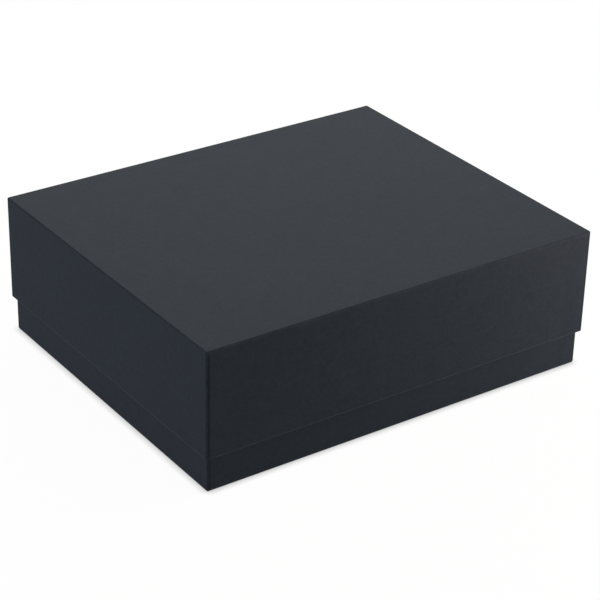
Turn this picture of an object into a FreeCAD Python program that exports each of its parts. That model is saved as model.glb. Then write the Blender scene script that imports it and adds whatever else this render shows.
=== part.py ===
import FreeCAD, Part
import math
import os

# Two-piece rigid gift box: a tray and a deep lift-off lid, both made as set-up boxes.
# Each half is a greyboard blank, half-cut scored and folded up, with paper stays round its four
# corners, one sheet of paper wrapped round the outside and turned in over the rim, and a lining sheet.
# Millimetres. The origin is the centre of the underside, +Z is up, the length runs along X, and the
# front is the long side facing -Y. The lid is built like the tray, mouth up, and then turned over.

# Overall sizes, outside the paper
lid_length = 300.0
lid_width = 250.0  # over the lapped corners of the long sides
lid_depth = 75.0
box_height = 100.0  # closed, standing on the tray

# Stock
board = 1.5  # greyboard
wrap_paper = 0.2
liner_paper = 0.15
stay_tape = 0.1  # gummed paper strip

# Fit of the lid over the tray
lid_play = 0.35  # air on each side, between the lined lid and the tray's lapped corners

# Folded blank
score_depth = 0.75  # half cut, on the outside of every fold
butt_gap = 0.1  # between walls where they meet at a corner
board_edge_radius = 0.15  # edges of the rim, rounded by the press

# Corner stays
stay_leg = 10.0  # along each wall, from the fold
stay_margin = 2.0  # short of the bottom fold and of the rim

# Wrapping sheet
turn_in = 20.0  # depth of the flap inside the rim
mitre_gap = 0.4  # between turned-in flaps at the inside corners
ear_lap = 14.0  # ears of the short sides, carried round the corner under the long sides
seam_setback = 1.2  # from the corner to the cut edge of the long side
ear_margin = 1.5  # ears stop short of the bottom fold and of the rim

# Lining sheet
liner_reveal = 4.0  # wrapping paper left showing below the rim
liner_fold_radius = 0.65
liner_corner_gap = 0.3  # between wall panels of the lining at the corners

OVERCUT = 1.0  # length by which a cutting tool stands clear of what it cuts
SAME_HEIGHT = 1e-6  # heights closer than this are one height
DIAGONAL = 45.0  # degrees, from an end towards a side
ORIGIN = FreeCAD.Vector(0, 0, 0)
LENGTHWAYS = FreeCAD.Vector(1, 0, 0)
CROSSWAYS = FreeCAD.Vector(0, 1, 0)
UP = FreeCAD.Vector(0, 0, 1)
ENDS = {"left": -1, "right": 1}
SIDES = {"front": -1, "back": 1}


def block(length, width, low, high):
    """A box centred on the Z axis, between two heights."""
    corner = FreeCAD.Vector(-length / 2, -width / 2, low)
    return Part.makeBox(length, width, high - low, corner)


def inset(plan, amount):
    """A length and width with the same amount taken off every side."""
    return tuple(size - 2 * amount for size in plan)


def at_corners(piece):
    """A piece of the back right corner, and its mirror images at the other three, by name."""
    placed = {}
    for side, side_sign in SIDES.items():
        for end, end_sign in ENDS.items():
            copy = piece
            if end_sign < 0:
                copy = copy.mirror(ORIGIN, LENGTHWAYS)
            if side_sign < 0:
                copy = copy.mirror(ORIGIN, CROSSWAYS)
            placed[f"{side}_{end}"] = copy
    return placed


def is_level(edge, height):
    """Whether an edge lies at one height."""
    return all(abs(vertex.Point.z - height) < SAME_HEIGHT for vertex in edge.Vertexes)


def folded_block(plan, low, high, radius):
    """A box whose bottom and upright edges are folds of one radius."""
    solid = block(*plan, low, high)
    folds = [edge for edge in solid.Edges if not is_level(edge, high)]
    return solid.makeFillet(radius, folds)


def open_tray(outside, cavity, floor, rim, edge_radius):
    """A solid hollowed down to its floor, with the edges of the rim rounded."""
    tray = outside.cut(block(*cavity, floor, rim + OVERCUT))
    edges = [edge for edge in tray.Edges if is_level(edge, rim)]
    return tray.makeFillet(edge_radius, edges)


def corner_slits(plan, inward, outward, gap, low, high):
    """Upright slits on the diagonals through the four corners of a plan."""
    slit = Part.makeBox(
        inward + outward, gap, high - low, FreeCAD.Vector(-inward, -gap / 2, low)
    )
    slit.rotate(ORIGIN, UP, DIAGONAL)
    slit.translate(FreeCAD.Vector(plan[0] / 2, plan[1] / 2, 0))
    return list(at_corners(slit).values())


class SetUpBox:
    """One half of the box, standing on its panel with its mouth up and its underside at z = 0."""

    def __init__(self, length, width, height):
        self.length = length
        self.width = width
        self.height = height
        # The blank, inside the paper: the long sides carry two layers at the lapped corners
        self.board_plan = (length - 2 * wrap_paper, width - 4 * wrap_paper)
        self.board_low = wrap_paper
        self.board_rim = height - wrap_paper
        self.floor = wrap_paper + board
        self.cavity = inset(self.board_plan, board)
        self.mouth = inset(self.cavity, wrap_paper)
        self.flap_end = height - turn_in

    def corner_stays(self):
        """Paper strips round the four upright corners, pressed flush into the board."""
        fold_x, fold_y = (size / 2 - score_depth for size in self.board_plan)
        low = self.board_low + score_depth + stay_margin
        high = self.board_rim - stay_margin

        def at(x, y):
            return FreeCAD.Vector(fold_x + x, fold_y + y, low)

        def bend(radius):
            middle = radius * math.sqrt(0.5)
            return Part.Arc(at(radius, 0), at(middle, middle), at(0, radius)).toShape()

        outer = score_depth
        inner = score_depth - stay_tape
        outline = [
            Part.makeLine(at(outer, -stay_leg), at(outer, 0)),
            bend(outer),
            Part.makeLine(at(0, outer), at(-stay_leg, outer)),
            Part.makeLine(at(-stay_leg, outer), at(-stay_leg, inner)),
            Part.makeLine(at(-stay_leg, inner), at(0, inner)),
            bend(inner),
            Part.makeLine(at(inner, 0), at(inner, -stay_leg)),
            Part.makeLine(at(inner, -stay_leg), at(outer, -stay_leg)),
        ]
        stay = Part.Face(Part.Wire(outline)).extrude(UP * (high - low))
        return at_corners(stay)

    def blank(self, stays):
        """The greyboard: scored folds, walls butted at the corners, pockets under the stays."""
        length, width = self.board_plan
        outside = block(length, width, self.board_low, self.board_rim)
        folded = open_tray(outside, self.cavity, self.floor, self.board_rim, board_edge_radius)

        score_top = self.board_low + score_depth
        below = self.board_low - OVERCUT
        uncut = block(*inset(self.board_plan, score_depth), below, score_top)
        bottom_scores = block(*inset(self.board_plan, -OVERCUT), below, score_top).cut(uncut)

        above = self.board_rim + OVERCUT
        corner_score = block(2 * score_depth, 2 * score_depth, score_top, above)
        corner_score.translate(FreeCAD.Vector(length / 2, width / 2, 0))
        corner_scores = list(at_corners(corner_score).values())

        hinge = math.sqrt(2) * (board - score_depth)
        butts = corner_slits(
            self.cavity, butt_gap, hinge + butt_gap, butt_gap, self.floor, above
        )
        return folded.cut([bottom_scores, *corner_scores, *butts, *stays.values()])

    def laps(self):
        """Where the long sides cover the ears: a second layer of paper beside each corner."""
        low = wrap_paper + score_depth + ear_margin
        high = self.board_rim - board_edge_radius - ear_margin
        lap = ear_lap - seam_setback
        layer = block(lap, 2 * wrap_paper, low, high)
        middle = self.length / 2 - seam_setback - lap / 2
        layer.translate(FreeCAD.Vector(middle, self.width / 2 - wrap_paper, 0))
        return list(at_corners(layer).values())

    def wrap(self):
        """The wrapping sheet: panel, walls, rounded rim and the flaps turned in below it."""
        covered = open_tray(
            folded_block(
                inset(self.board_plan, -wrap_paper), 0, self.height, score_depth + wrap_paper
            ),
            self.mouth,
            self.floor,
            self.height,
            board_edge_radius + wrap_paper,
        )
        under_paper = open_tray(
            folded_block(self.board_plan, self.board_low, self.board_rim, score_depth),
            self.cavity,
            self.floor,
            self.board_rim,
            board_edge_radius,
        )
        below_flaps = block(*self.cavity, self.floor, self.flap_end)
        sheet = covered.cut([under_paper, below_flaps]).fuse(self.laps())
        mitres = corner_slits(
            self.mouth,
            mitre_gap,
            math.sqrt(2) * (wrap_paper + board / 2),
            mitre_gap,
            self.flap_end - OVERCUT,
            self.height + OVERCUT,
        )
        return sheet.cut(mitres).removeSplitter()

    def liner(self):
        """The lining sheet, stepping over the edge of the turned-in flaps."""
        top = self.height - liner_reveal
        face = self.floor + liner_paper
        face_radius = liner_fold_radius - liner_paper
        behind = folded_block(self.cavity, self.floor, self.flap_end, liner_fold_radius)
        behind_flaps = folded_block(self.mouth, self.floor, top, liner_fold_radius)
        hollow = folded_block(
            inset(self.cavity, liner_paper), face, self.flap_end - liner_paper, face_radius
        )
        hollow_at_flaps = folded_block(
            inset(self.mouth, liner_paper), face, top + OVERCUT, face_radius
        )
        sheet = behind.fuse(behind_flaps).cut([hollow, hollow_at_flaps])
        corner_cuts = corner_slits(
            self.mouth,
            liner_fold_radius,
            liner_fold_radius,
            liner_corner_gap,
            face + liner_fold_radius,
            top + OVERCUT,
        )
        return sheet.cut(corner_cuts).removeSplitter()

    def pieces(self):
        """Each physical piece by name."""
        stays = self.corner_stays()
        found = {"board": self.blank(stays), "wrap": self.wrap(), "liner": self.liner()}
        for corner, stay in stays.items():
            found[f"corner_stay_{corner}"] = stay
        return found


def turned_over(shape):
    """A piece of the lid, mouth down, with its panel at the top of the closed box."""
    piece = shape.mirror(ORIGIN, UP)
    piece.translate(FreeCAD.Vector(0, 0, box_height))
    return piece


lined_panel = wrap_paper + board + liner_paper
lined_wall = wrap_paper + board + wrap_paper + liner_paper
lid = SetUpBox(lid_length, lid_width, lid_depth)
tray = SetUpBox(
    lid_length - 2 * (lined_wall + lid_play),
    lid_width - 2 * (wrap_paper + lined_wall + lid_play),
    box_height - lined_panel,  # the tray's rim carries the lid's lined panel
)

os.makedirs("parts", exist_ok=True)
for name, shape in tray.pieces().items():
    shape.exportStep(f"parts/base_{name}.step")
for name, shape in lid.pieces().items():
    turned_over(shape).exportStep(f"parts/lid_{name}.step")
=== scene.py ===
import math

import bmesh
import bpy
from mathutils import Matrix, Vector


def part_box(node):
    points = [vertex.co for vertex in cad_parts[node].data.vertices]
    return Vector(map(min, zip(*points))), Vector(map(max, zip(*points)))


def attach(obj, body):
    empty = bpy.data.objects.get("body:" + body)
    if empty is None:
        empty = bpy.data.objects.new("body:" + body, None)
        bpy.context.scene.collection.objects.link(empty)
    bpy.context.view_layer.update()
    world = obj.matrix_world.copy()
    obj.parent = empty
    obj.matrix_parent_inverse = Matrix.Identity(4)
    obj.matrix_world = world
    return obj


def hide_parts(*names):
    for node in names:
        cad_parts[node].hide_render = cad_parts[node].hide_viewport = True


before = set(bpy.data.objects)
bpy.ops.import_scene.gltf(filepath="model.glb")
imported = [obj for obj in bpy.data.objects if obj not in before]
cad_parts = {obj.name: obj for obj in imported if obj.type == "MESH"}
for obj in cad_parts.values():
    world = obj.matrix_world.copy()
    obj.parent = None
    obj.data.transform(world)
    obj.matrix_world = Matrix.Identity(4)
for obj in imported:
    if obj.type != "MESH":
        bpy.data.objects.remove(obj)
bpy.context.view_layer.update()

# The looks of a two-piece set-up gift box. Metres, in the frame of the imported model: the origin is the
# centre of the tray's underside, the length runs along X, and the front long side faces -Y.
# Each wrapping and lining sheet starts as a flat cut sheet and is folded up round its half of the box.

MM = 0.001
QUARTER = math.pi / 2

# Stock and folding, as the solids have them
PAPER = 0.2 * MM
LINING = 0.15 * MM
BOARD = 1.5 * MM
WALL = BOARD + 2 * PAPER  # from the outside of the wrap to the face of the turned-in flap
RIM_RADIUS = 0.35 * MM
TURN_IN = 20 * MM
EAR_LAP = 14 * MM  # ears of the short sides, carried round the corners under the long sides
EAR_FROM_PANEL = 2.45 * MM
EAR_FROM_RIM = 1.85 * MM
LINING_FOLD_RADIUS = 0.65 * MM
LINING_REVEAL = 4 * MM  # wrapping paper left showing below the rim

# How the paper lies
FOLD_RADIUS = 1.3 * MM  # outside of the paper, which bridges the open score
SEAM_SETBACK = 2.0 * MM  # from a corner to the cut edge of the long side, past the fold
SEAM_SLIT = 0.04 * MM  # between a long side's cut edge and the paper that comes round the corner
MITRE_GAP = 0.08 * MM  # between turned-in flaps at the inside corners
EAR_RAMP = 1.4 * MM  # over which a lap dies away into the wall
STEP_RAMP = 1.2 * MM  # over which the lining climbs onto the turned-in flaps
STEP_LEAD = 0.1 * MM  # from the end of that climb to the edge of the flaps
LID_CROWN = 0.25 * MM
WALL_BELLY = 0.06 * MM
WAVINESS = 0.04 * MM
RIPPLE = (14.0, 1.0, 0.5)  # noise in the swell: cells to a metre, detail and roughness

# Wear, a painted highlight along the rim, and seams darkened by glue and painted shade
WRAP_RUB_AND_HIGHLIGHT_REACH = 0.9 * MM  # beside the folds and the rim
LINING_RUB_AND_HIGHLIGHT_REACH = 0.6 * MM
SEAM_REACH = 0.9 * MM  # how far the glue and painted shade of a seam spread
SEAM_FADE = 0.5  # of the rim's bend, in radians, over which the dark of a seam ends
# How dark each half's seams are painted, glue and painted shade together
SEAM_SHADE = {"base": 0.35, "lid": 1.0}
CUT_EDGE_TILT = 0.5  # faces of the flat sheet whose normals are less upright than this are cut edges

# Mesh density
ARC_STEPS = 8
RIM_STEPS = 5
TAIL_STEPS = 2  # from a corner's bend to the seam
EAR_STEPS = 4
RAMP_STEPS = 4
GRID_STEP = 6 * MM
MARGIN_STEP = 0.5 * MM  # rows of a wall above and below its ears
RIM_ROW_STEP = 0.2 * MM
FOLD_MARGINS = (2.8 * MM, 1.1 * MM, 0.35 * MM)  # support lines beside each fold
SAME_PLACE = 1e-8
POINT_DIGITS = 4  # of a millimetre, past which two points are one
SHARP_ANGLE = math.radians(40)


class Value:
    """An output socket of a node tree. Arithmetic on it adds Math nodes to the tree."""

    def __init__(self, tree, socket):
        self.tree = tree
        self.socket = socket

    def __add__(self, other):
        return self.tree.math("ADD", self, other)

    def __radd__(self, other):
        return self.tree.math("ADD", other, self)

    def __sub__(self, other):
        return self.tree.math("SUBTRACT", self, other)

    def __rsub__(self, other):
        return self.tree.math("SUBTRACT", other, self)

    def __mul__(self, other):
        return self.tree.math("MULTIPLY", self, other)

    def __rmul__(self, other):
        return self.tree.math("MULTIPLY", other, self)

    def __truediv__(self, other):
        return self.tree.math("DIVIDE", self, other)

    def __gt__(self, other):
        return self.tree.math("GREATER_THAN", self, other)

    def __lt__(self, other):
        return self.tree.math("LESS_THAN", self, other)

    def __abs__(self):
        return self.tree.math("ABSOLUTE", self)

    def at_least(self, other):
        return self.tree.math("MAXIMUM", self, other)

    def at_most(self, other):
        return self.tree.math("MINIMUM", self, other)

    def between(self, low, high):
        return self.at_least(low).at_most(high)

    def sine(self):
        return self.tree.math("SINE", self)

    def cosine(self):
        return self.tree.math("COSINE", self)

    def sign(self):
        return self.tree.math("SIGN", self)

    def ramp(self, low, high):
        """0 below low, 1 above high, and a smooth S between them."""
        return self.tree.add(
            "ShaderNodeMapRange",
            {"interpolation_type": "SMOOTHSTEP"},
            {"Value": self, "From Min": low, "From Max": high},
        )

    def blend(self, zero, one):
        """The first value where this one is 0, the second where it is 1."""
        return zero + self * (one - zero)


class Tree:
    """A node tree that is written as expressions."""

    def __init__(self, tree):
        self.tree = tree

    def node(self, kind, settings=None, sockets=None):
        """One node: its type, its settings, and the values or links of its sockets."""
        made = self.tree.nodes.new(kind)
        for name, setting in (settings or {}).items():
            setattr(made, name, setting)
        for name, value in (sockets or {}).items():
            self.connect(made.inputs[name], value)
        return made

    def add(self, kind, settings=None, sockets=None, output=0):
        """One output of a new node."""
        return Value(self, self.node(kind, settings, sockets).outputs[output])

    def connect(self, socket, value):
        if isinstance(value, Value):
            self.tree.links.new(value.socket, socket)
        else:
            socket.default_value = value

    def math(self, operation, *values):
        return self.add("ShaderNodeMath", {"operation": operation}, dict(enumerate(values)))

    def mix_colour(self, factor, first, second):
        """A blend of two colours. The colour sockets share their names with others, so go by number."""
        return self.add(
            "ShaderNodeMix", {"data_type": "RGBA"}, {0: factor, 6: first, 7: second}, output=2
        )

    def stretch(self, vector, scale):
        return self.add("ShaderNodeVectorMath", {"operation": "MULTIPLY"}, {0: vector, 1: scale})

    def noise(self, vector, scale, detail, roughness):
        return self.add(
            "ShaderNodeTexNoise",
            None,
            {"Vector": vector, "Scale": scale, "Detail": detail, "Roughness": roughness},
        )


# Flat cut sheets


def spread(low, high, step):
    """Evenly spaced places from low to high, both included."""
    count = max(1, round((high - low) / step))
    return [low + (high - low) * i / count for i in range(count + 1)]


def half_lines(fold):
    """Grid lines from the middle of a panel to its fold, closer together beside the fold."""
    widest, *closer = FOLD_MARGINS
    return spread(0, fold - widest, GRID_STEP) + [fold - margin for margin in closer] + [fold]


def mirrored(lines):
    """The same lines on both sides of zero."""
    return [-place for place in reversed(lines) if place] + lines


def closing(lines, fold, end):
    """Grid lines with the last stretch, beside the fold, squeezed so that they finish at another end."""
    start = fold - max(FOLD_MARGINS)
    share = (end - start) / (fold - start)
    return [place if place <= start else start + (place - start) * share for place in lines]


def quarter_turn(radius):
    """Places along a quarter bend of the paper, from its start to its end."""
    return [QUARTER * radius * i / ARC_STEPS for i in range(ARC_STEPS + 1)]


class CutSheet:
    """A flat sheet that is laid out panel by panel and then given its thickness."""

    def __init__(self, name):
        self.name = name
        self.bm = bmesh.new()
        self.found = {}

    def point(self, u, v):
        key = (round(u / MM, POINT_DIGITS), round(v / MM, POINT_DIGITS))
        if key not in self.found:
            self.found[key] = self.bm.verts.new((u, v, 0))
        return self.found[key]

    def face(self, *corners):
        points = []
        for corner in corners:
            point = self.point(*corner)
            if point not in points:
                points.append(point)
        if len(points) > 2:
            self.bm.faces.new(points)

    def rows(self, rows):
        """Faces between neighbouring rows that have equally many points."""
        for first, second in zip(rows, rows[1:]):
            for i in range(len(first) - 1):
                self.face(first[i], first[i + 1], second[i + 1], second[i])

    def fan(self, tip, row):
        """Triangles from one point to each stretch of a row."""
        for first, second in zip(row, row[1:]):
            self.face(tip, first, second)

    def mesh(self, thickness):
        """The sheet as a closed slab, from z = 0 up."""
        bm = self.bm
        made = bmesh.ops.extrude_face_region(bm, geom=list(bm.faces), use_keep_orig=True)
        upper = [part for part in made["geom"] if isinstance(part, bmesh.types.BMVert)]
        bmesh.ops.translate(bm, verts=upper, vec=(0, 0, thickness))
        bmesh.ops.recalc_face_normals(bm, faces=list(bm.faces))
        mesh = bpy.data.meshes.new(self.name)
        bm.to_mesh(mesh)
        bm.free()
        return mesh


def wrapping_sheet(name, half_length, half_width, height):
    """The wrapping paper of one half: panel, four walls with turn-ins, and ears on the short walls."""
    end_fold = half_length - FOLD_RADIUS
    side_fold = half_width - FOLD_RADIUS

    # Distances out from the panel's fold lines
    fold_end = QUARTER * FOLD_RADIUS
    ear_low = fold_end + EAR_FROM_PANEL - FOLD_RADIUS
    ear_high = fold_end + height - EAR_FROM_RIM - FOLD_RADIUS
    rim_bend = QUARTER * RIM_RADIUS
    rim_low = fold_end + height - FOLD_RADIUS - RIM_RADIUS
    rim_top = rim_low + rim_bend
    mitre_start = rim_top + FOLD_RADIUS - RIM_RADIUS
    rim_inside = rim_top + WALL - 2 * RIM_RADIUS
    tuck = rim_inside + rim_bend
    sheet_end = tuck + TURN_IN - RIM_RADIUS

    outside_rows = spread(0, fold_end, fold_end / ARC_STEPS)
    outside_rows += spread(fold_end, ear_low, MARGIN_STEP)[1:]
    outside_rows += spread(ear_low, ear_high, GRID_STEP)[1:]
    outside_rows += spread(ear_high, rim_low, MARGIN_STEP)[1:]
    outside_rows += spread(rim_low, rim_top, rim_bend / RIM_STEPS)[1:]
    outside_rows += spread(rim_top, mitre_start, RIM_ROW_STEP)[1:]
    inside_rows = spread(mitre_start, rim_inside, RIM_ROW_STEP)[1:]
    inside_rows += spread(rim_inside, tuck, rim_bend / RIM_STEPS)[1:]
    inside_rows += spread(tuck, sheet_end, GRID_STEP / 2)[1:]
    rows = outside_rows + inside_rows
    ear_rows = [out for out in rows if ear_low - SAME_PLACE <= out <= ear_high + SAME_PLACE]

    def mitred_end(fold, out):
        """Where the end of a flap lies, once it has come in past the start of its mitre."""
        across = min(max(out - rim_top, 0), WALL - 2 * RIM_RADIUS)
        bend = min(max(out - rim_inside, 0) / RIM_RADIUS, QUARTER)
        inset = across + RIM_RADIUS * math.sin(bend) + RIM_RADIUS - FOLD_RADIUS
        return fold - MITRE_GAP * math.sqrt(0.5) - max(inset, 0)

    def long_side_end(out):
        """Where the cut edge of a long side lies: at the fold, then set back from the corner."""
        if out > mitre_start:
            return mitred_end(end_fold, out)
        at_fold = end_fold - SEAM_SLIT
        at_wall = half_length - SEAM_SETBACK
        share = min(max((out - fold_end) / (ear_low - fold_end), 0), 1)
        return at_fold + (at_wall - at_fold) * share

    def short_side_end(out):
        """Where a short side stops, or goes on round the corner."""
        return mitred_end(side_fold, out) if out > mitre_start else side_fold

    length_lines = half_lines(end_fold)
    width_lines = half_lines(side_fold)
    turns = quarter_turn(FOLD_RADIUS)
    ear_end = side_fold + fold_end + EAR_LAP - FOLD_RADIUS

    def long_side(way, out):
        lines = mirrored(closing(length_lines, end_fold, long_side_end(out)))
        return [(u, way * (side_fold + out)) for u in lines]

    def short_side(way, out):
        lines = mirrored(closing(width_lines, side_fold, short_side_end(out)))
        return [(way * (end_fold + out), v) for v in lines]

    def corner(way, side, out):
        """Paper that a short side carries round a corner, up to the long side's cut edge."""
        tail = max(end_fold - long_side_end(out) - SEAM_SLIT, 0)
        past = turns + [turns[-1] + tail * i / TAIL_STEPS for i in range(1, TAIL_STEPS + 1)]
        return [(way * (end_fold + out), side * (side_fold + distance)) for distance in past]

    def ear(way, side, out):
        """Paper that goes on from the corner, under the long side."""
        u, start = corner(way, side, out)[-1]
        reach = side * ear_end - start
        return [(u, start + reach * i / EAR_STEPS) for i in range(EAR_STEPS + 1)]

    sheet = CutSheet(name)
    panel_lines = mirrored(closing(length_lines, end_fold, long_side_end(0)) + [end_fold])
    sheet.rows([[(u, v) for u in panel_lines] for v in mirrored(width_lines)])
    for way in (-1, 1):
        sheet.rows([long_side(way, out) for out in rows])
        sheet.rows([short_side(way, out) for out in rows])
        for side in (-1, 1):
            corner_rows = [corner(way, side, out) for out in outside_rows[1:-1]]
            sheet.rows(corner_rows)
            sheet.fan((way * end_fold, side * side_fold), corner_rows[0])
            sheet.fan((way * (end_fold + mitre_start), side * side_fold), corner_rows[-1])
            sheet.rows([ear(way, side, out) for out in ear_rows])
    return sheet.mesh(PAPER)


def lining_sheet(name, half_length, half_width, height):
    """The lining paper of one half: panel and four walls, the short ones carried round the corners."""
    radius = LINING_FOLD_RADIUS
    end_fold = half_length - radius
    side_fold = half_width - radius
    fold_end = QUARTER * radius
    sheet_end = fold_end + height - radius
    step_end = sheet_end - (TURN_IN - LINING_REVEAL)
    step_start = step_end - 2 * STEP_RAMP
    rows = spread(0, fold_end, fold_end / ARC_STEPS)
    rows += spread(fold_end, step_start, GRID_STEP)[1:]
    rows += spread(step_start, step_end, STEP_RAMP / RAMP_STEPS)[1:]
    rows += spread(step_end, sheet_end, GRID_STEP / 2)[1:]

    sheet = CutSheet(name)
    length_lines = closing(half_lines(end_fold), end_fold, end_fold - SEAM_SLIT)
    width_lines = mirrored(half_lines(side_fold))
    sheet.rows([[(u, v) for u in mirrored(length_lines + [end_fold])] for v in width_lines])
    turns = quarter_turn(radius)
    for way in (-1, 1):
        sheet.rows([[(u, way * (side_fold + out)) for u in mirrored(length_lines)] for out in rows])
        sheet.rows([[(way * (end_fold + out), v) for v in width_lines] for out in rows])
        for side in (-1, 1):
            corner_rows = [
                [(way * (end_fold + out), side * (side_fold + past)) for past in turns]
                for out in rows[1:]
            ]
            sheet.rows(corner_rows)
            sheet.fan((way * end_fold, side * side_fold), corner_rows[0])
    return sheet.mesh(LINING)


# Folding

# Sizes of a sheet with no turn-ins, laps, step, swell or dark seams
PLAIN_SHEET = {
    "Rim Radius": 0.1 * MM,
    "Wall": BOARD,
    "Lap Lift": 0.0,
    "Lap Reach": 1 * MM,
    "Lap Low": 0.0,
    "Lap High": 0.0,
    "Lap Ramp": 1 * MM,
    "Step In": 0.0,
    "Step Height": 1.0,
    "Step Ramp": 0.1,
    "Crown": 0.0,
    "Belly": 0.0,
    "Waviness": 0.0,
    "Seam Setback": 0.0,
    "Seam Reach": 1 * MM,
    "Seam Shade": 0.0,
}
OWN_SIZES = ("Half Length", "Half Width", "Height", "Fold Radius", "Rub And Highlight Reach", "Facing", "Foot")
FOLDING_SIZES = (*OWN_SIZES, *PLAIN_SHEET)


def folding_tree():
    """Folds a flat cut sheet up into walls, over the rim and in again, and round the corners.

    A point of the flat sheet is its place along the length, its place across the width, and its depth
    under the outer face. Facing is 1 for a mouth that opens upwards and -1 for one turned over.
    """
    group = bpy.data.node_groups.new("fold_up_sheet", "GeometryNodeTree")
    sockets = group.interface
    sockets.new_socket("Sheet", in_out="INPUT", socket_type="NodeSocketGeometry")
    for name in FOLDING_SIZES:
        sockets.new_socket(name, in_out="INPUT", socket_type="NodeSocketFloat")
    sockets.new_socket("Finish", in_out="INPUT", socket_type="NodeSocketMaterial")
    sockets.new_socket("Sheet", in_out="OUTPUT", socket_type="NodeSocketGeometry")

    tree = Tree(group)
    inlet = tree.node("NodeGroupInput")
    size = {name: Value(tree, inlet.outputs[name]) for name in FOLDING_SIZES}
    radius, rim = size["Fold Radius"], size["Rim Radius"]
    place = tree.add("GeometryNodeInputPosition")

    def part(axis, vector):
        return tree.add("ShaderNodeSeparateXYZ", None, {0: vector}, output=axis)

    u, v, depth = part("X", place), part("Y", place), part("Z", place)
    along, across = abs(u), abs(v)
    end_fold = size["Half Length"] - radius
    side_fold = size["Half Width"] - radius
    on_end = along > end_fold + SAME_PLACE
    out = on_end.blend((across - side_fold).at_least(0), along - end_fold)

    # Arcs and straight runs that the paper has passed, from the panel's fold line outwards
    fold_end = radius * QUARTER
    climb_length = size["Height"] - radius - rim
    rim_low = fold_end + climb_length
    rim_top = rim_low + rim * QUARTER
    rim_width = size["Wall"] - rim * 2
    rim_inside = rim_top + rim_width
    tuck_start = rim_inside + rim * QUARTER
    bend = out.between(0, fold_end) / radius
    climb = (out - fold_end).between(0, climb_length)
    over = (out - rim_low).between(0, rim * QUARTER) / rim
    cross = (out - rim_top).between(0, rim_width)
    under = (out - rim_inside).between(0, rim * QUARTER) / rim
    tuck = (out - tuck_start).at_least(0)
    turn = bend + over + under

    # How the paper departs from flat walls: laps over the ears, the lining's step, and a slight swell
    level = climb + radius
    lap_start = size["Half Length"] - size["Lap Reach"]
    lap = (1 - on_end) * along.ramp(lap_start - size["Lap Ramp"], lap_start)
    lap = lap * level.ramp(size["Lap Low"] - size["Lap Ramp"], size["Lap Low"])
    lap = lap * (1 - level.ramp(size["Lap High"], size["Lap High"] + size["Lap Ramp"]))
    step = level.ramp(size["Step Height"] - size["Step Ramp"], size["Step Height"])
    ripple = (tree.noise(place, *RIPPLE) - 0.5) * size["Waviness"]
    length_swell = (1 - (along / end_fold) * (along / end_fold)).at_least(0)
    width_swell = (1 - (across / side_fold) * (across / side_fold)).at_least(0)
    climbed = climb / climb_length
    height_swell = climbed * (1 - climbed) * 4
    wall_swell = height_swell * on_end.blend(length_swell, width_swell)
    belly = (size["Belly"] + ripple) * wall_swell
    crown = (size["Crown"] + ripple) * length_swell * width_swell

    reach = radius * bend.sine() + rim * (over.cosine() - 1) - cross - rim * under.sine()
    reach = reach + lap * size["Lap Lift"] - step * size["Step In"] + belly - depth * turn.sine()
    rise = radius * (1 - bend.cosine()) + climb + rim * over.sine()
    rise = rise - rim * (1 - under.cosine()) - tuck
    rise = rise + depth * turn.cosine() - crown

    # Round the corner, for the paper that a short wall carries past its end
    past = across - side_fold
    swing = past.between(0, fold_end) / radius
    run = (past - fold_end).at_least(0)
    x = u.sign() * on_end.blend(along, end_fold + reach * swing.cosine() - run)
    y = v.sign() * (across.at_most(side_fold) + reach * on_end.blend(1.0, swing.sine()))
    folded = tree.add(
        "ShaderNodeCombineXYZ",
        None,
        {"X": x, "Y": y * size["Facing"], "Z": size["Foot"] + rise * size["Facing"]},
    )

    # What the finish needs to know: the flat sheet, its rubbed folds, its rim with wear and a painted
    # highlight, its seams with glue and painted shade, and its cut edges
    panel_gap = (end_fold - along).at_most(side_fold - across)
    fold_gap = panel_gap.at_least(out - fold_end)
    corner_gap = abs(past - fold_end * 0.5) - fold_end * 0.5 + (1 - on_end)
    rim_gap = (rim_low - out).at_least(out - tuck_start)
    fold_rub = 1 - fold_gap.at_most(corner_gap).ramp(0, size["Rub And Highlight Reach"])
    # The rim: wear, and a painted highlight along the lid's lower edge
    rim_wear_and_highlight = 1 - rim_gap.ramp(0, size["Rub And Highlight Reach"])
    # Seams: glue and painted shade darken the paper beside each long side's cut edge, most on the lid
    seam_line = size["Half Length"] - size["Seam Setback"]
    seam_gap = on_end.blend(seam_line - along, fold_end + end_fold - seam_line - past)
    seam = (1 - seam_gap.ramp(0, size["Seam Reach"])) * climb.ramp(0, radius)
    seam = seam * (1 - over.ramp(0, SEAM_FADE)) * size["Seam Shade"]
    normal = tree.add("GeometryNodeInputNormal")
    cut = abs(part("Z", normal)) < CUT_EDGE_TILT

    def store(geometry, name, value, kind="FLOAT", domain="POINT"):
        return tree.add(
            "GeometryNodeStoreNamedAttribute",
            {"data_type": kind, "domain": domain},
            {"Geometry": geometry, "Name": name, "Value": value},
        )

    sheet = Value(tree, inlet.outputs["Sheet"])
    sheet = store(sheet, "flat_sheet", place, kind="FLOAT_VECTOR")
    sheet = store(sheet, "fold_rub", fold_rub)
    sheet = store(sheet, "rim_wear_and_highlight", rim_wear_and_highlight)
    sheet = store(sheet, "seam", seam)
    sheet = store(sheet, "cut_edge", cut, domain="FACE")
    sheet = tree.add("GeometryNodeSetPosition", None, {"Geometry": sheet, "Position": folded})
    sheet = tree.add("GeometryNodeRealizeInstances", None, {"Geometry": sheet})
    finish = Value(tree, inlet.outputs["Finish"])
    sheet = tree.add("GeometryNodeSetMaterial", None, {"Geometry": sheet, "Material": finish})
    tree.node("NodeGroupOutput", None, {"Sheet": sheet})
    return group


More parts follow.
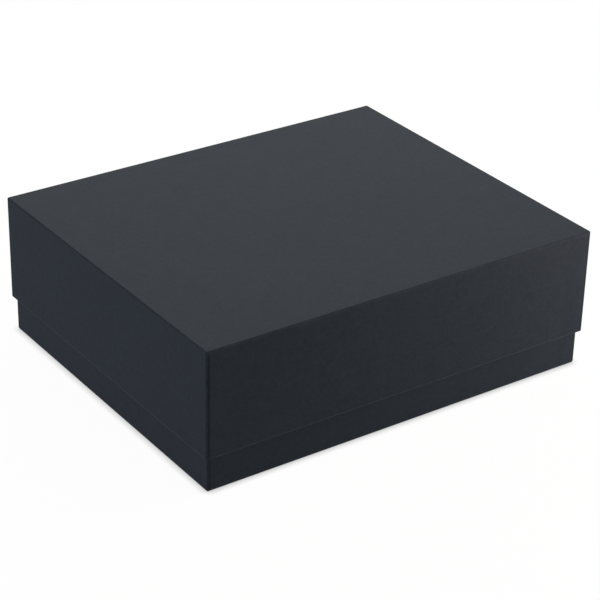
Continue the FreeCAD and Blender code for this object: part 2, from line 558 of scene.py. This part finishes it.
def folded_piece(name, flat, group, finish, sizes):
    """The plain mesh object that the folding tree makes from a flat sheet."""
    blank = bpy.data.objects.new(name + "_flat", flat)
    bpy.context.scene.collection.objects.link(blank)
    modifier = blank.modifiers.new("fold", "NODES")
    modifier.node_group = group
    for socket in group.interface.items_tree:
        if socket.in_out != "INPUT":
            continue
        if socket.name in sizes:
            modifier[socket.identifier] = float(sizes[socket.name])
        elif socket.name == "Finish":
            modifier[socket.identifier] = finish
    evaluated = blank.evaluated_get(bpy.context.evaluated_depsgraph_get())
    mesh = bpy.data.meshes.new_from_object(evaluated)
    blank.modifiers.remove(modifier)
    bpy.data.objects.remove(blank)
    mesh.name = name
    for polygon in mesh.polygons:
        polygon.use_smooth = True
    mesh.set_sharp_from_angle(angle=SHARP_ANGLE)
    piece = bpy.data.objects.new(name, mesh)
    bpy.context.scene.collection.objects.link(piece)
    return piece


# Finishes

# Noise in the paper: cells to a metre, detail and roughness, from the finest to the broadest
PAPER_NOISE = {
    "tooth": (1500.0, 2.0, 0.6),
    "grain": (620.0, 2.0, 0.55),
    "tuft": (250.0, 2.0, 0.5),
    "mottle": (75.0, 3.0, 0.55),
    "cloud": (11.0, 2.0, 0.5),
}
PAPER_FIBRES = (260.0, 1500.0, 900.0)  # cells to a metre along, across and through the sheet
PAPER_FIBRE_NOISE = (1.0, 3.0, 0.6)

# How much each noise counts in the paper's shade, roughness, relief and worn patches
PAPER_SHADE = {"mottle": 0.7, "cloud": 0.5, "tuft": 1.1, "grain": 1.6, "fibre": 0.6}
PAPER_ROUGHNESS = {"tooth": 0.16, "mottle": 0.1}
PAPER_RELIEF = {"tooth": 0.5, "grain": 0.8, "fibre": 0.5}
WORN_PATCHES = {"fibre": 0.6, "mottle": 0.8}
PATCH_RANGE = (-0.3, 0.25)  # from no patch to a full one
ROUGHNESS_RANGE = (0.3, 0.95)
SHEEN_ROUGHNESS = 0.45
TOOTH_HEIGHT = 0.03 * MM

# How strongly wear, glue, the painted rim highlight and the painted seam shade show in the paper
FOLD_WEAR = 0.1
# Even and patchy lightening of the rim: wear and a painted highlight
RIM_WEAR_AND_HIGHLIGHT = 0.15
RIM_PATCHY_WEAR_AND_HIGHLIGHT = 0.3
CUT_EDGE_WEAR = 0.15
POLISH = 0.06  # roughness that rubbing takes off
# Darkening of the seams, by glue and by painted shade
SEAM_DEPTH = 0.5

# Raw board and strip paper, in the same terms
BOARD_NOISE = {"mottle": (120.0, 3.0, 0.6), "spots": (900.0, 1.0, 0.4)}
BOARD_FIBRES = (220.0, 900.0, 900.0)
BOARD_FIBRE_NOISE = (1.0, 4.0, 0.65)
BOARD_SHADE = {"fibre": 0.7, "mottle": 0.6}
BOARD_ROUGHNESS = {"fibre": 0.2}
BOARD_RELIEF = {"fibre": 1.0, "mottle": 0.5}
BOARD_DULLNESS = 0.82  # roughness, before the fibres change it
BOARD_FIBRE_HEIGHT = 0.05 * MM
BOARD_FIBRE_STRENGTH = 0.5
FLECK_RANGE = (0.66, 0.74)
FLECK_DEPTH = 0.6


def rgb(red, green, blue):
    return (red, green, blue, 1.0)


def new_finish(name):
    """A material, its node tree and its shader."""
    material = bpy.data.materials.new(name)
    material.use_nodes = True
    tree = Tree(material.node_tree)
    shader = material.node_tree.nodes["Principled BSDF"]
    return material, tree, shader


def attribute(tree, name, output="Fac"):
    return tree.add("ShaderNodeAttribute", {"attribute_name": name}, output=output)


def bump(tree, height, distance, strength):
    return tree.add(
        "ShaderNodeBump", None, {"Strength": strength, "Distance": distance, "Height": height}
    )


def noise_layers(tree, place, noise, fibres, fibre_noise):
    """The noises of a stock by name, with its fibres, which are drawn out one way."""
    layers = {name: tree.noise(place, *settings) for name, settings in noise.items()}
    layers["fibre"] = tree.noise(tree.stretch(place, fibres), *fibre_noise)
    return layers


def mingle(layers, shares):
    """Noises added up about zero, each by its share."""
    return sum((layers[name] - 0.5) * share for name, share in shares.items())


def paper_finish(name, dark, light, worn_and_highlit, glue_and_shade_line, roughness, specular, sheen, tooth_strength):
    """Dyed matte paper: a fine tooth, faint mottling, rubbed folds, a rubbed rim with a painted
    highlight, and seams darkened by glue and painted shade.
    """
    material, tree, shader = new_finish(name)
    sheet = attribute(tree, "flat_sheet", "Vector")
    layers = noise_layers(tree, sheet, PAPER_NOISE, PAPER_FIBRES, PAPER_FIBRE_NOISE)
    fold_rub = attribute(tree, "fold_rub")
    rim_wear_and_highlight = attribute(tree, "rim_wear_and_highlight")
    seam = attribute(tree, "seam")
    cut = attribute(tree, "cut_edge")

    shade = mingle(layers, PAPER_SHADE) + 0.5
    colour = tree.mix_colour(shade.between(0, 1), dark, light)
    patchy = mingle(layers, WORN_PATCHES).ramp(*PATCH_RANGE)
    # Folds lightened by wear; the rim lightened by wear and by a painted highlight
    rubbed_and_highlit = fold_rub * patchy * FOLD_WEAR + rim_wear_and_highlight * (RIM_WEAR_AND_HIGHLIGHT + patchy * RIM_PATCHY_WEAR_AND_HIGHLIGHT)
    colour = tree.mix_colour((rubbed_and_highlit + cut * CUT_EDGE_WEAR).between(0, 1), colour, worn_and_highlit)
    # Seams darkened by glue and by painted shade of the crevice at the cut edge
    colour = tree.mix_colour(seam * SEAM_DEPTH, colour, glue_and_shade_line)
    rough = mingle(layers, PAPER_ROUGHNESS) - rubbed_and_highlit * POLISH + roughness
    relief = bump(tree, mingle(layers, PAPER_RELIEF), TOOTH_HEIGHT, tooth_strength)
    tree.connect(shader.inputs["Base Color"], colour)
    tree.connect(shader.inputs["Roughness"], rough.between(*ROUGHNESS_RANGE))
    tree.connect(shader.inputs["Specular IOR Level"], specular)
    tree.connect(shader.inputs["Sheen Weight"], sheen)
    tree.connect(shader.inputs["Sheen Roughness"], SHEEN_ROUGHNESS)
    tree.connect(shader.inputs["Normal"], relief)
    return material


def board_finish(name, dark, light, fleck):
    """Raw recycled board or strip paper: soft fibres with darker flecks."""
    material, tree, shader = new_finish(name)
    place = tree.add("ShaderNodeTexCoord", output="Object")
    layers = noise_layers(tree, place, BOARD_NOISE, BOARD_FIBRES, BOARD_FIBRE_NOISE)
    shade = mingle(layers, BOARD_SHADE) + 0.5
    colour = tree.mix_colour(shade.between(0, 1), dark, light)
    flecks = layers["spots"].ramp(*FLECK_RANGE) * FLECK_DEPTH
    colour = tree.mix_colour(flecks, colour, fleck)
    relief = bump(tree, mingle(layers, BOARD_RELIEF), BOARD_FIBRE_HEIGHT, BOARD_FIBRE_STRENGTH)
    tree.connect(shader.inputs["Base Color"], colour)
    tree.connect(shader.inputs["Roughness"], mingle(layers, BOARD_ROUGHNESS) + BOARD_DULLNESS)
    tree.connect(shader.inputs["Normal"], relief)
    return material


wrapping_paper = paper_finish(
    "dyed_wrapping_paper",
    dark=rgb(0.0111, 0.0156, 0.0209),
    light=rgb(0.0166, 0.0231, 0.0303),
    # Lighter blue of wear, and of the painted highlight along the rim
    worn_and_highlit=rgb(0.045, 0.055, 0.068),
    # Near-black of the seams: glue and painted shade
    glue_and_shade_line=rgb(0.0030, 0.0042, 0.0056),
    roughness=0.62,
    specular=0.05,
    sheen=0.0,
    tooth_strength=0.5,
)
lining_paper = paper_finish(
    "dyed_lining_paper",
    dark=rgb(0.019, 0.021, 0.024),
    light=rgb(0.029, 0.031, 0.034),
    worn_and_highlit=rgb(0.055, 0.058, 0.062),
    glue_and_shade_line=rgb(0.010, 0.011, 0.012),
    roughness=0.72,
    specular=0.1,
    sheen=0.02,
    tooth_strength=0.4,
)
greyboard = board_finish(
    "raw_greyboard",
    dark=rgb(0.28, 0.26, 0.235),
    light=rgb(0.44, 0.42, 0.385),
    fleck=rgb(0.14, 0.13, 0.12),
)
stay_paper = board_finish(
    "gummed_stay_paper",
    dark=rgb(0.36, 0.25, 0.145),
    light=rgb(0.56, 0.41, 0.25),
    fleck=rgb(0.26, 0.17, 0.09),
)

# The four sheets

HALVES = {"base": ("tray", 1.0), "lid": ("lid", -1.0)}
CLEAR_OF_RIM = 1 * MM  # a lining sheet ends this far below the rim it is folded to, and never turns in


def standing(node, facing):
    """Half the length, half the width and the height of a node, and the height of its panel."""
    low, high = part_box(node)
    foot = low.z if facing > 0 else high.z
    return high.x, high.y, high.z - low.z, foot


folding = folding_tree()
for half, (body, facing) in HALVES.items():
    half_length, half_over_laps, height, foot = standing(half + "_wrap", facing)
    half_width = half_over_laps - PAPER
    name = half + "_wrapping_sheet"
    wrap = folded_piece(
        name,
        wrapping_sheet(name, half_length, half_width, height),
        folding,
        wrapping_paper,
        {
            **PLAIN_SHEET,
            "Half Length": half_length,
            "Half Width": half_width,
            "Height": height,
            "Fold Radius": FOLD_RADIUS,
            "Rub And Highlight Reach": WRAP_RUB_AND_HIGHLIGHT_REACH,
            "Facing": facing,
            "Foot": foot,
            "Rim Radius": RIM_RADIUS,
            "Wall": WALL,
            "Lap Lift": PAPER,
            "Lap Reach": EAR_LAP,
            "Lap Low": EAR_FROM_PANEL,
            "Lap High": height - EAR_FROM_RIM,
            "Lap Ramp": EAR_RAMP,
            "Crown": LID_CROWN if half == "lid" else 0.0,
            "Belly": WALL_BELLY,
            "Waviness": WAVINESS,
            "Seam Setback": SEAM_SETBACK,
            "Seam Reach": SEAM_REACH,
            "Seam Shade": SEAM_SHADE[half],
        },
    )
    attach(wrap, body)
    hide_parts(half + "_wrap")

    half_length, half_width, height, foot = standing(half + "_liner", facing)
    name = half + "_lining_sheet"
    lining = folded_piece(
        name,
        lining_sheet(name, half_length, half_width, height),
        folding,
        lining_paper,
        {
            **PLAIN_SHEET,
            "Half Length": half_length,
            "Half Width": half_width,
            "Height": height + CLEAR_OF_RIM,
            "Fold Radius": LINING_FOLD_RADIUS,
            "Rub And Highlight Reach": LINING_RUB_AND_HIGHLIGHT_REACH,
            "Facing": facing,
            "Foot": foot,
            "Step In": PAPER,
            "Step Height": height - (TURN_IN - LINING_REVEAL) - STEP_LEAD,
            "Step Ramp": STEP_RAMP,
        },
    )
    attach(lining, body)
    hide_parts(half + "_liner")

for name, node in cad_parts.items():
    if name.endswith("_board"):
        finish = greyboard
    elif "corner_stay" in name:
        finish = stay_paper
    else:
        continue
    node.data.materials.clear()
    node.data.materials.append(finish)

# Studio

FLOOR_RADIUS = 8.0
FLOOR_SEGMENTS = 64
FLOOR_DROP = 0.15 * MM  # below the tray's underside, so that the two never share a plane
FLOOR_WHITE = 0.97  # share of plain white that the eye sees, the rest being lit floor
CONTACT_REACH = 5 * MM  # how far the shade where the box meets the floor spreads
CONTACT_SHADE = 0.6
CONTACT_SAMPLES = 4
FLOOR_COLOUR = rgb(0.8, 0.8, 0.8)
WHITE = rgb(1.0, 1.0, 1.0)
SKY_LIGHT = 0.53
MIDDLE = (0.0, 0.0, 0.05)  # of the closed box
NEUTRAL = (1.0, 1.0, 1.0)
WARM = (1.0, 0.858, 0.811)
COOL = (0.818, 0.80, 1.0)


def white_to_the_eye(tree):
    """1 for what the camera sees directly or in a mirror or through glass, 0 for light on the object."""
    ray = tree.node("ShaderNodeLightPath")
    seen = Value(tree, ray.outputs["Is Camera Ray"])
    seen = seen.at_least(Value(tree, ray.outputs["Is Glossy Ray"]))
    return seen.at_least(Value(tree, ray.outputs["Is Transmission Ray"]))


def floor_finish():
    """Pale floor that stays white to the eye and keeps the box's shadow, darkest where they meet."""
    material = bpy.data.materials.new("studio_floor")
    material.use_nodes = True
    tree = Tree(material.node_tree)
    nodes = material.node_tree.nodes
    nodes.remove(nodes["Principled BSDF"])
    lit = tree.add("ShaderNodeBsdfDiffuse", None, {"Color": FLOOR_COLOUR})
    clear = tree.add(
        "ShaderNodeAmbientOcclusion",
        {"samples": CONTACT_SAMPLES},
        {"Distance": CONTACT_REACH},
        output="AO",
    )
    brightness = 1 - (1 - clear) * CONTACT_SHADE
    white = tree.add("ShaderNodeEmission", None, {"Color": WHITE, "Strength": brightness})
    share = white_to_the_eye(tree) * FLOOR_WHITE
    surface = tree.add("ShaderNodeMixShader", None, {0: share, 1: lit, 2: white})
    tree.connect(nodes["Material Output"].inputs["Surface"], surface)
    return material


def studio_floor():
    """A wide flat floor under the box."""
    bm = bmesh.new()
    bmesh.ops.create_circle(
        bm, cap_ends=True, cap_tris=True, segments=FLOOR_SEGMENTS, radius=FLOOR_RADIUS
    )
    bmesh.ops.translate(bm, verts=list(bm.verts), vec=(0, 0, -FLOOR_DROP))
    mesh = bpy.data.meshes.new("studio_floor")
    bm.to_mesh(mesh)
    bm.free()
    mesh.materials.append(floor_finish())
    floor = bpy.data.objects.new("studio_floor", mesh)
    bpy.context.scene.collection.objects.link(floor)


def studio_world():
    """Even light from all round, and plain white wherever the eye sees past the floor."""
    world = bpy.data.worlds.new("studio")
    bpy.context.scene.world = world
    world.use_nodes = True
    tree = Tree(world.node_tree)
    background = world.node_tree.nodes["Background"]
    tree.connect(background.inputs["Color"], WHITE)
    tree.connect(background.inputs["Strength"], white_to_the_eye(tree).blend(SKY_LIGHT, 1.0))


def soft_lamp(name, place, size, power, tint=NEUTRAL):
    """A rectangular soft light that points at the middle of the box."""
    lamp = bpy.data.lights.new(name, "AREA")
    lamp.shape = "RECTANGLE"
    lamp.size, lamp.size_y = size
    lamp.energy = power
    lamp.color = tint
    holder = bpy.data.objects.new(name, lamp)
    bpy.context.scene.collection.objects.link(holder)
    holder.location = place
    direction = Vector(MIDDLE) - Vector(place)
    holder.rotation_euler = direction.to_track_quat("-Z", "Y").to_euler()


studio_floor()
studio_world()
soft_lamp("back_softbox", place=(0.8, 1.9, 1.35), size=(2.4, 1.0), power=33.0)
soft_lamp("right_overhead", place=(0.8, -0.2, 0.9), size=(0.5, 0.5), power=9.2, tint=WARM)
soft_lamp("right_side", place=(0.55, -0.25, 0.06), size=(0.25, 0.1), power=4.7, tint=WARM)
soft_lamp("left_side", place=(-1.2, 0.3, 0.05), size=(0.5, 0.09), power=4.4, tint=COOL)

# Camera, at the photograph's viewing angle
camera = bpy.data.objects.new("camera", bpy.data.cameras.new("camera"))
bpy.context.scene.collection.objects.link(camera)
camera.location = (-0.71768, -1.01990, 0.70601)
camera.rotation_euler = [math.radians(angle) for angle in (61.7151, -1.2139, -34.6592)]
camera.data.sensor_width = 36.0
camera.data.lens = 125.063
camera.data.clip_start = 0.05
camera.data.clip_end = 50.0
bpy.context.scene.camera = camera
bpy.context.scene.view_settings.view_transform = "Standard"
